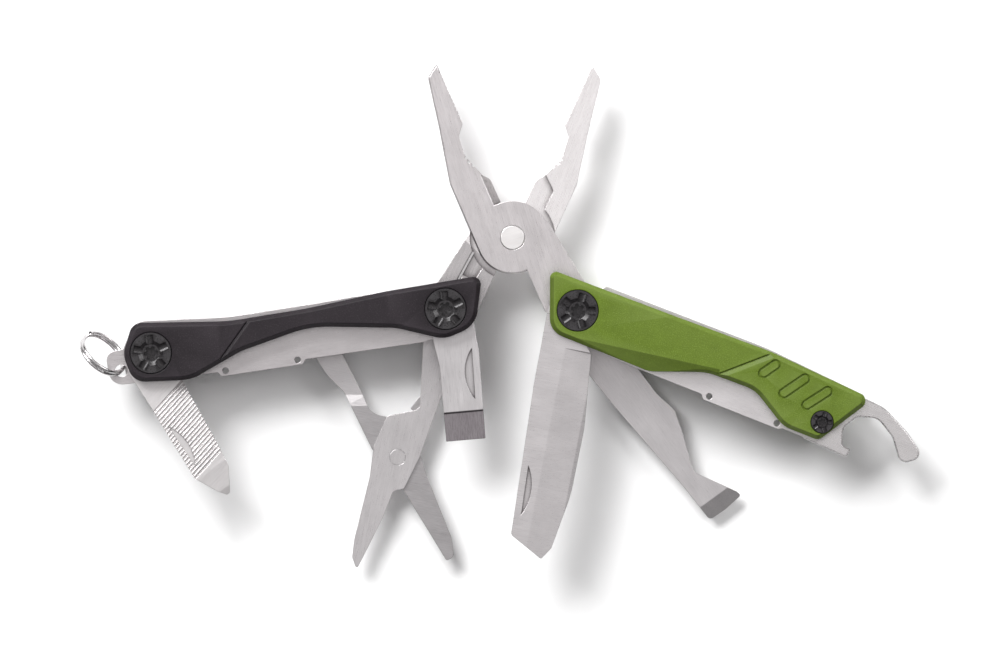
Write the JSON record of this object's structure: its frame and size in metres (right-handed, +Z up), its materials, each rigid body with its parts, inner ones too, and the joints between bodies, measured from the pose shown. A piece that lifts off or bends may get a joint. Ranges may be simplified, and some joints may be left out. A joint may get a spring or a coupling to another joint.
{
  "type": "multi tool",
  "caption": "Pocket multi tool with spring plier jaws, two folding handles, knife, file, flat driver, scissors, package and bottle openers.",
  "frame": {"origin": "centre of the whole tool's plan as it lies open, on the plane that its rear scales rest on", "axes": "+X from the lanyard ring to the bottle opener, +Y toward the plier jaws, +Z up out of the front scales"},
  "size_m": [0.1474, 0.0882, 0.0163],
  "materials": {
    "jaw_steel_front": "satin brushed",
    "jaw_steel_rear": "satin brushed",
    "rivet_steel": "ground flat",
    "spring_steel": "bright",
    "frame_steel": "satin",
    "blade_steel": "satin, brushed across",
    "tool_steel": "satin",
    "black_scale": "satin black",
    "green_scale": "satin green",
    "black_fastener": "black oxide, satin",
    "ring_steel": "polished wire"
  },
  "bodies": {
    "jaw_front": {"plier_jaw_front": "jaw_steel_front", "plier_rivet": "rivet_steel", "plier_spring_front": "spring_steel"},
    "jaw_rear": {"plier_jaw_rear": "jaw_steel_rear", "plier_spring_rear": "spring_steel"},
    "left_handle": {"left_far_barrel": "rivet_steel", "left_far_screws": "black_fastener", "left_far_sleeve": "frame_steel", "left_far_spacer": "frame_steel", "left_far_washer": "rivet_steel", "left_front_liner": "frame_steel", "left_front_scale": "black_scale", "left_near_barrel": "rivet_steel", "left_near_screws": "black_fastener", "left_near_washers": "rivet_steel", "left_rear_liner": "frame_steel", "left_rear_scale": "black_scale"},
    "right_handle": {"right_front_liner": "frame_steel", "right_front_scale": "green_scale", "right_near_barrel": "rivet_steel", "right_near_screws": "black_fastener", "right_near_washers": "rivet_steel", "right_rear_liner": "frame_steel", "right_rear_scale": "green_scale", "right_small_screws": "black_fastener", "bottle_opener": "frame_steel"},
    "knife": {"knife_blade": "blade_steel"},
    "package_opener": {"package_opener": "tool_steel"},
    "flat_driver": {"flat_driver": "tool_steel"},
    "file_driver": {"file_driver": "tool_steel"},
    "scissors": {"scissor_front_blade": "blade_steel", "scissor_rivet": "rivet_steel", "scissor_spring": "spring_steel"},
    "scissor_rear": {"scissor_rear_blade": "tool_steel"},
    "lanyard_ring": {"lanyard_ring": "ring_steel"}
  },
  "joints": [
    {"name": "plier_pivot", "type": "hinge", "parent": "jaw_front", "child": "jaw_rear", "pos_m": [0.00227, 0.01382, 0.00816], "axis": [0, 0, 1], "range_deg": [0, 48.2], "stiffness_Nm_per_rad": 0.05, "springref_deg": -17.19, "deforming": ["plier_spring_front", "plier_spring_rear"]},
    {"name": "left_handle_fold", "type": "hinge", "parent": "jaw_rear", "child": "left_handle", "pos_m": [-0.00947, 0.00129, 0.00816], "axis": [0, 0, -1], "range_deg": [-56, 123.3]},
    {"name": "right_handle_fold", "type": "hinge", "parent": "jaw_front", "child": "right_handle", "pos_m": [0.0137, 0.00101, 0.00816], "axis": [0, 0, 1], "range_deg": [-45, 135]},
    {"name": "knife_fold", "type": "hinge", "parent": "right_handle", "child": "knife", "pos_m": [0.0137, 0.00101, 0.00816], "axis": [0, 0, 1], "range_deg": [-56.5, 79.4]},
    {"name": "package_opener_fold", "type": "hinge", "parent": "right_handle", "child": "package_opener", "pos_m": [0.0137, 0.00101, 0.00816], "axis": [0, 0, 1], "range_deg": [-55, 32.4]},
    {"name": "flat_driver_fold", "type": "hinge", "parent": "left_handle", "child": "flat_driver", "pos_m": [-0.00947, 0.00129, 0.00816], "axis": [0, 0, -1], "range_deg": [-60, 86.5]},
    {"name": "file_fold", "type": "hinge", "parent": "left_handle", "child": "file_driver", "pos_m": [-0.0611, -0.00642, 0.00816], "axis": [0, 0, 1], "range_deg": [-25, 69.5]},
    {"name": "scissors_fold", "type": "hinge", "parent": "left_handle", "child": "scissors", "pos_m": [-0.00947, 0.00129, 0.00816], "axis": [0, 0, -1], "range_deg": [-30, 63.5]},
    {"name": "scissor_squeeze", "type": "hinge", "parent": "scissors", "child": "scissor_rear", "pos_m": [-0.01794, -0.02477, 0.00816], "axis": [0, 0, -1], "range_deg": [0, 42], "stiffness_Nm_per_rad": 0.01, "springref_deg": -17.19, "deforming": ["scissor_spring"]},
    {"name": "lanyard_ring_swing", "type": "hinge", "parent": "left_handle", "child": "lanyard_ring", "pos_m": [-0.06639, -0.00954, 0.00816], "axis": [0, 0, 1], "range_deg": [-5, 50]}
  ]
}
